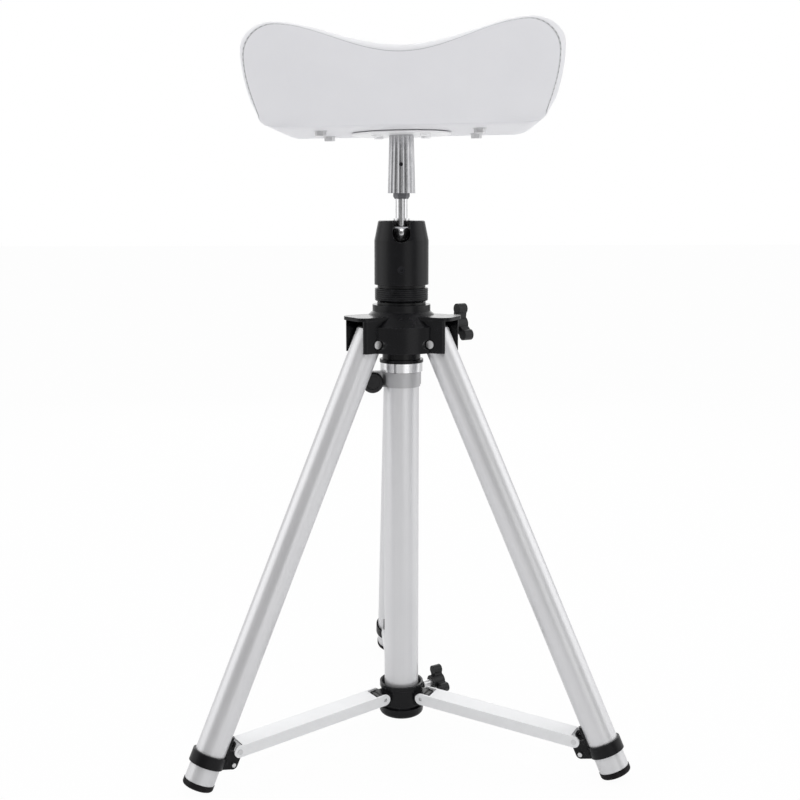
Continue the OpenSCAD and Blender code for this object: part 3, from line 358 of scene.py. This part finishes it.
def turned_steel(name, dark, light, rough, around):
    steel = Finish(name, Metallic=1.0)
    where = steel.place()
    height = steel.node("ShaderNodeSeparateXYZ", values=[where], out=2)
    values = {"W": height * around, "Scale": 1.0, "Detail": 3.0}
    rings = steel.node("ShaderNodeTexNoise", {"noise_dimensions": "1D"}, values)
    cloud = steel.noise(where, scale=120.0, detail=4.0)
    steel.show(Base_Color=steel.blend(rings * 0.6 + cloud * 0.4, dark, light),
               Roughness=rough + rings * 0.10 + cloud * 0.08,
               Normal=steel.bump(rings, distance=0.00003, strength=0.4))
    return steel


bright_ring = turned_steel("bright_ring", dark=(0.66, 0.66, 0.67, 1), light=(0.88, 0.88, 0.89, 1),
                           rough=0.14, around=3500.0)
bright_ring.on("slotted_ring")
grey_band = turned_steel("grey_band", dark=(0.46, 0.46, 0.47, 1), light=(0.60, 0.60, 0.61, 1),
                         rough=0.42, around=2600.0)
grey_band.on("clamp_band")

# Ball, stem and socket.
# Chromium-plated steel ball and rod, and a fluted zinc socket with a softer, slightly pitted plating.
chrome = turned_steel("chrome_plate", dark=(0.50, 0.50, 0.51, 1), light=(0.72, 0.72, 0.73, 1),
                      rough=0.10, around=5200.0)
chrome.on("ball_stem")
socket_dull, socket_bright = (0.36, 0.36, 0.375, 1), (0.54, 0.54, 0.55, 1)
socket_plate = Finish("socket_plate", Metallic=1.0)
socket_where = socket_plate.place()
socket_pits = socket_plate.noise(socket_where, scale=900.0, detail=4.0, rough=0.6)
socket_cloud = socket_plate.noise(socket_where, scale=150.0, detail=4.0)
socket_plate.show(Base_Color=socket_plate.blend(socket_cloud, socket_dull, socket_bright),
                  Roughness=0.18 + socket_pits * 0.12,
                  Normal=socket_plate.bump(socket_pits, distance=0.00006, strength=0.5))
socket_plate.on("fluted_socket")
flange_dull, flange_bright = (0.86, 0.86, 0.87, 1), (0.93, 0.93, 0.935, 1)
flange_plate = Finish("flange_plate", Metallic=0.3, IOR=1.5)
flange_where = flange_plate.place()
flange_cloud = flange_plate.noise(flange_where, scale=90.0, detail=4.0)
flange_plate.show(Base_Color=flange_plate.blend(flange_cloud, flange_dull, flange_bright),
                  Roughness=0.32 + flange_cloud * 0.12,
                  Normal=flange_plate.bump(flange_cloud, distance=0.0001, strength=0.3))
flange_plate.on("mount_flange", "flange_screws")
blued = turned_steel("blued_steel", dark=(0.10, 0.10, 0.11, 1), light=(0.20, 0.20, 0.21, 1),
                     rough=0.30, around=3000.0)
blued.on("jam_nut", "cup_washer")
oxide = turned_steel("black_oxide", dark=(0.018, 0.018, 0.020, 1), light=(0.05, 0.05, 0.055, 1),
                     rough=0.32, around=3000.0)
oxide.on("socket_pin", "head_grub_screw")

# Base board.
# Birch plywood behind the cushion's cover; its grain runs across the footrest.
ply_dark, ply_pale = (0.50, 0.36, 0.21, 1), (0.72, 0.57, 0.38, 1)
plywood = Finish("birch_plywood", IOR=1.45)
ply_where = plywood.place()
ply_along = plywood.node("ShaderNodeMapping", values={"Vector": ply_where, "Scale": (0.08, 1, 1)})
ply_grain = plywood.noise(ply_along, scale=420.0, detail=4.0)
plywood.show(Base_Color=plywood.blend(ply_grain, ply_dark, ply_pale),
             Roughness=0.55 + ply_grain * 0.2,
             Normal=plywood.bump(ply_grain, distance=0.0001, strength=0.4))
plywood.on("base_board")

# Cushion.
# A saddle of firm foam under white grained vinyl: a front and a rear panel are sewn to one band that runs
# over the crests, and the cover is pulled round the board and fixed under it.
socket_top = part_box("fluted_socket")[1].z
cushion_turn = math.radians(-5.5)
cushion_lean = math.radians(-1)
cushion_aside = 0.003
cushion_rise = 0.0031
cushion_place = (Matrix.Translation(column_axis + Vector((0, 0, socket_top)))
                 @ Matrix.Rotation(cushion_turn, 4, "Z")
                 @ Matrix.Rotation(cushion_lean, 4, "Y")
                 @ Matrix.Translation((cushion_aside, 0, cushion_rise)))
half_width = 0.120
half_depth = 0.075
crest = 0.0772
saddle = 0.0553
saddle_curve = 0.9
side_swell, swell_full = 0.0095, 0.02
crown, crown_curve, crest_loss = 0.012, 0.8, 0.3
panel_middle = saddle / 2
crest_share, turn_share = 0.80, 0.70
crest_place = crest_share * half_width
turn_height = turn_share * crest
base_half, tuck_high, tuck_wide = 0.093, 0.010, 0.017
cover = 0.0005
seam_sink = 0.0009
seam_from, seam_fade = 0.004, 0.006
edge_lift, lift_height, lift_curve = 0.0015, 0.003, 24
gather_deep, gather_pitch, gather_high = 0.0004, 900, 0.007
gather_from, gather_fade = 0.05, 0.04
tuck_steps, side_steps, top_steps, under_steps = 8, 14, 64, 56


def seam_outline():
    """The panels' outline: up the right side, over both crests, down the left and back under the board."""
    lean_out = half_width - base_half - tuck_wide
    right = []
    for k in range(tuck_steps):
        turn = math.pi / 2 * k / tuck_steps
        right.append((base_half + tuck_wide * math.sin(turn), tuck_high * (1 - math.cos(turn))))
    for k in range(side_steps):
        climb = k / side_steps
        right.append((base_half + tuck_wide + lean_out * math.sin(climb * math.pi / 2),
                      tuck_high + (turn_height - tuck_high) * climb))
    for k in range(side_steps):
        turn = math.pi / 2 * k / side_steps
        right.append((crest_place + (half_width - crest_place) * math.cos(turn),
                      turn_height + (crest - turn_height) * math.sin(turn)))
    over = []
    for k in range(top_steps + 1):
        x = crest_place * (1 - k / (top_steps // 2))
        dip = ((1 + math.cos(math.pi * x / crest_place)) / 2) ** saddle_curve
        over.append((x, crest - (crest - saddle) * dip))
    left = [(-x, z) for x, z in reversed(right)]
    below = [(-base_half + 2 * base_half * k / under_steps, 0.0) for k in range(1, under_steps)]
    return right + over + left + below


outline = seam_outline()
count = len(outline)
band_rows = 34
panel_rows = 20


def tucked(z, across):
    """Lifts the lowest edge at the front and rear, where the cover turns under the board."""
    return z - cover + edge_lift * abs(across) ** lift_curve * max(0.0, 1 - z / lift_height)


def band_point(x, z, across):
    """A point of the band: across runs from -1 at the front seam to 1 at the rear one."""
    grown = max(0.0, 1 - across * across) ** crown_curve
    rise = crown * (z / saddle if z < saddle else 1 - crest_loss * (z - saddle) / (crest - saddle))
    swell = side_swell / half_width * grown * min(1.0, z / swell_full)
    return Vector((x * (1 + swell), across * half_depth, tucked(z, across) + rise * grown))


def panel_point(x, z, share, side):
    """A point of a panel: share runs from 0 at its middle to 1 at its seam."""
    height = tucked(z, 1.0) * share + (1 - share) * panel_middle
    outer = min(1.0, max(0.0, (abs(x) - gather_from) / gather_fade))
    gather = gather_deep * math.sin(x * gather_pitch) * math.exp(-height / gather_high) * outer
    return Vector((x * share, side * (half_depth + gather * share), height))


rows = []
seam_rows = []
for side in (-1, 1):
    panel = [[panel_point(x, z, math.sin(math.pi / 2 * k / panel_rows), side) for x, z in outline]
             for k in range(1, panel_rows + 1)]
    if side < 0:
        rows += panel
        seam_rows.append(len(rows) - 1)
        for j in range(1, band_rows):
            rows.append([band_point(x, z, -math.cos(math.pi * j / band_rows)) for x, z in outline])
    else:
        seam_rows.append(len(rows))
        rows += reversed(panel)
cushion_form = bmesh.new()
grid = [[cushion_form.verts.new(point) for point in row] for row in rows]
for low_row, high_row in zip(grid, grid[1:]):
    for k in range(count):
        n = (k + 1) % count
        cushion_form.faces.new((low_row[k], low_row[n], high_row[n], high_row[k]))
for row, flip in ((grid[0], True), (grid[-1], False)):
    middle = cushion_form.verts.new(sum((v.co for v in row), Vector()) / count)
    for k in range(count):
        n = (k + 1) % count
        cushion_form.faces.new((middle, row[n], row[k]) if flip else (middle, row[k], row[n]))
bmesh.ops.recalc_face_normals(cushion_form, faces=cushion_form.faces)
cushion_mesh = bpy.data.meshes.new("saddle_cushion")
cushion_form.to_mesh(cushion_mesh)
cushion_form.free()
cushion = bpy.data.objects.new("saddle_cushion", cushion_mesh)
bpy.context.scene.collection.objects.link(cushion)

# The foam presses the sewn cover outward: the seams, the tucked edge and the underside are held, and the
# rest fills.
held_below = 0.004
least_move = 1e-7
foam_frames = 20
band_give, panel_give = 0.0035, 0.0008
held = cushion.vertex_groups.new(name="held")
sewn = {row * count + k for row in seam_rows for k in range(count)}
held.add([v.index for v in cushion_mesh.vertices if v.index in sewn or v.co.z < held_below], 1.0, "REPLACE")
before = [v.co.copy() for v in cushion_mesh.vertices]
foam = cushion.modifiers.new("foam", "CLOTH")
foam.settings.quality = 5
foam.settings.mass = 0.4
foam.settings.tension_stiffness = 25
foam.settings.compression_stiffness = 25
foam.settings.bending_stiffness = 1.5
foam.settings.use_pressure = True
foam.settings.uniform_pressure_force = 5
foam.settings.vertex_group_mass = "held"
foam.settings.effector_weights.gravity = 0
foam.point_cache.frame_start = 1
foam.point_cache.frame_end = foam_frames
for step in range(1, foam_frames + 1):
    bpy.context.scene.frame_set(step)
filled = cushion.evaluated_get(bpy.context.evaluated_depsgraph_get()).to_mesh()
after = [v.co.copy() for v in filled.vertices]
cushion.modifiers.remove(foam)
bpy.context.scene.frame_set(1)
for vertex, start, end in zip(cushion_mesh.vertices, before, after):
    moved = end - start
    on_band = panel_rows * count <= vertex.index < (len(rows) - panel_rows) * count
    give = band_give if on_band else panel_give
    if moved.length > least_move:
        vertex.co = start + moved.normalized() * give * (1 - math.exp(-moved.length / give))
cushion.vertex_groups.clear()

# The seams are drawn in after the filling, on the seam's row and the row at each side of it, and fade out at
# the foot. The same rows carry a painted shade that greys the vinyl along each seam.
beside_depth, beside_shade = 0.6, 0.9
painted_seam_shade = cushion_mesh.attributes.new("painted_seam_shade", "FLOAT", "POINT")
normals = [v.normal.copy() for v in cushion_mesh.vertices]
for row in seam_rows:
    for beside, depth, shade in ((0, 1.0, 1.0),
                                 (-1, beside_depth, beside_shade),
                                 (1, beside_depth, beside_shade)):
        for k in range(count):
            index = (row + beside) * count + k
            drawn = min(1.0, max(0.0, (outline[k][1] - seam_from) / seam_fade))
            cushion_mesh.vertices[index].co -= normals[index] * seam_sink * depth * drawn
            painted_seam_shade.data[index].value = shade * drawn
for face in cushion_mesh.polygons:
    face.use_smooth = True

vinyl_dull, vinyl_bright = (0.800, 0.800, 0.830, 1), (0.845, 0.845, 0.870, 1)
# Painted shade: the grey that the vinyl is painted along each seam, where its groove falls into shade.
painted_seam_grey = (0.30, 0.30, 0.31, 1)
vinyl = Finish("white_vinyl", IOR=1.33)
vinyl_where = vinyl.place()
vinyl_grain = vinyl.node("ShaderNodeTexVoronoi", {"feature": "DISTANCE_TO_EDGE"},
                         {"Vector": vinyl_where, "Scale": 1100.0})
vinyl_cloud = vinyl.noise(vinyl_where, scale=30.0, detail=4.0)
vinyl_pull = vinyl.noise(vinyl_where, scale=140.0, detail=3.0, rough=0.45)
vinyl_seam_shade = vinyl.node("ShaderNodeAttribute", {"attribute_name": "painted_seam_shade"}, out=2)
vinyl_white = vinyl.blend(vinyl_cloud, vinyl_dull, vinyl_bright)
vinyl_pores = vinyl.bump(vinyl.ramp(vinyl_grain, low=0.0, high=0.12), distance=0.00005, strength=0.4)
# The painted seam shade, mixed into the white vinyl's colour.
vinyl_painted_shade = vinyl.ramp(vinyl_seam_shade, low=0.2, high=0.9)
vinyl.show(Base_Color=vinyl.blend(vinyl_painted_shade, vinyl_white, painted_seam_grey),
           Roughness=0.40 + vinyl_cloud * 0.10 - vinyl.ramp(vinyl_grain, low=0.0, high=0.2) * 0.05,
           Normal=vinyl.bump(vinyl_pull, distance=0.0006, strength=0.25, normal=vinyl_pores))
cushion_mesh.materials.append(vinyl.material)

# Sewing thread.
# White spun thread, sewn in one tight line of short stitches that lies in the bottom of each seam.
thread_dull, thread_bright = (0.60, 0.60, 0.62, 1), (0.74, 0.74, 0.76, 1)
thread = Finish("sewing_thread", IOR=1.45)
thread_where = thread.place()
thread_twist = thread.noise(thread_where, scale=3000.0, detail=2.0)
thread.show(Base_Color=thread.blend(thread_twist, thread_dull, thread_bright),
            Roughness=0.6 + thread_twist * 0.2,
            Normal=thread.bump(thread_twist, distance=0.0001, strength=0.6))
stitch = 0.0042
stitch_start, stitch_end = 0.0005, 0.0003
stitch_rise, stitch_sink = 0.00045, 0.0001
thread_foot = 0.012
thread_thin, thread_full, thread_thick = 0.00012, 0.00030, 0.00034
stitch_shape = ((0.0, thread_thin), (0.2, thread_full), (0.5, thread_thick), (0.8, thread_full),
                (1.0, thread_thin))
thread_sides = 6
thread_turns = [2 * math.pi * k / thread_sides for k in range(thread_sides)]
thread_form = bmesh.new()
for row in seam_rows:
    path = [cushion_mesh.vertices[row * count + k].co.copy() for k in range(count)
            if outline[k][1] > thread_foot]
    lengths = [0.0]
    for first, second in zip(path, path[1:]):
        lengths.append(lengths[-1] + (second - first).length)
    middle = sum(path, Vector()) / len(path)
    step = 0
    for n in range(int(lengths[-1] / stitch)):
        ends = []
        for at in (n * stitch + stitch_start, (n + 1) * stitch - stitch_end):
            while step < len(path) - 2 and lengths[step + 1] < at:
                step += 1
            share = (at - lengths[step]) / (lengths[step + 1] - lengths[step])
            ends.append(path[step].lerp(path[step + 1], share))
        along = (ends[1] - ends[0]).normalized()
        out = ends[0] - middle
        out = (out - along * out.dot(along)).normalized()
        cross = along.cross(out)
        rings = []
        for share, thick in stitch_shape:
            bow = stitch_rise * math.sin(math.pi * share) - stitch_sink
            centre = ends[0].lerp(ends[1], share) + out * bow
            rims = [out * math.cos(turn) + cross * math.sin(turn) for turn in thread_turns]
            rings.append([thread_form.verts.new(centre + rim * thick) for rim in rims])
        for first, second in zip(rings, rings[1:]):
            for k in range(thread_sides):
                following = (k + 1) % thread_sides
                thread_form.faces.new((first[k], first[following], second[following], second[k]))
        thread_form.faces.new(reversed(rings[0]))
        thread_form.faces.new(rings[-1])
bmesh.ops.recalc_face_normals(thread_form, faces=thread_form.faces)
thread_mesh = bpy.data.meshes.new("seam_thread")
thread_form.to_mesh(thread_mesh)
thread_form.free()
for face in thread_mesh.polygons:
    face.use_smooth = True
thread_mesh.materials.append(thread.material)
seam_thread = bpy.data.objects.new("seam_thread", thread_mesh)
bpy.context.scene.collection.objects.link(seam_thread)
thread_mesh.transform(cushion_place)
cushion_mesh.transform(cushion_place)
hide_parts("cushion")
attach(cushion, "rest")
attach(seam_thread, "rest")
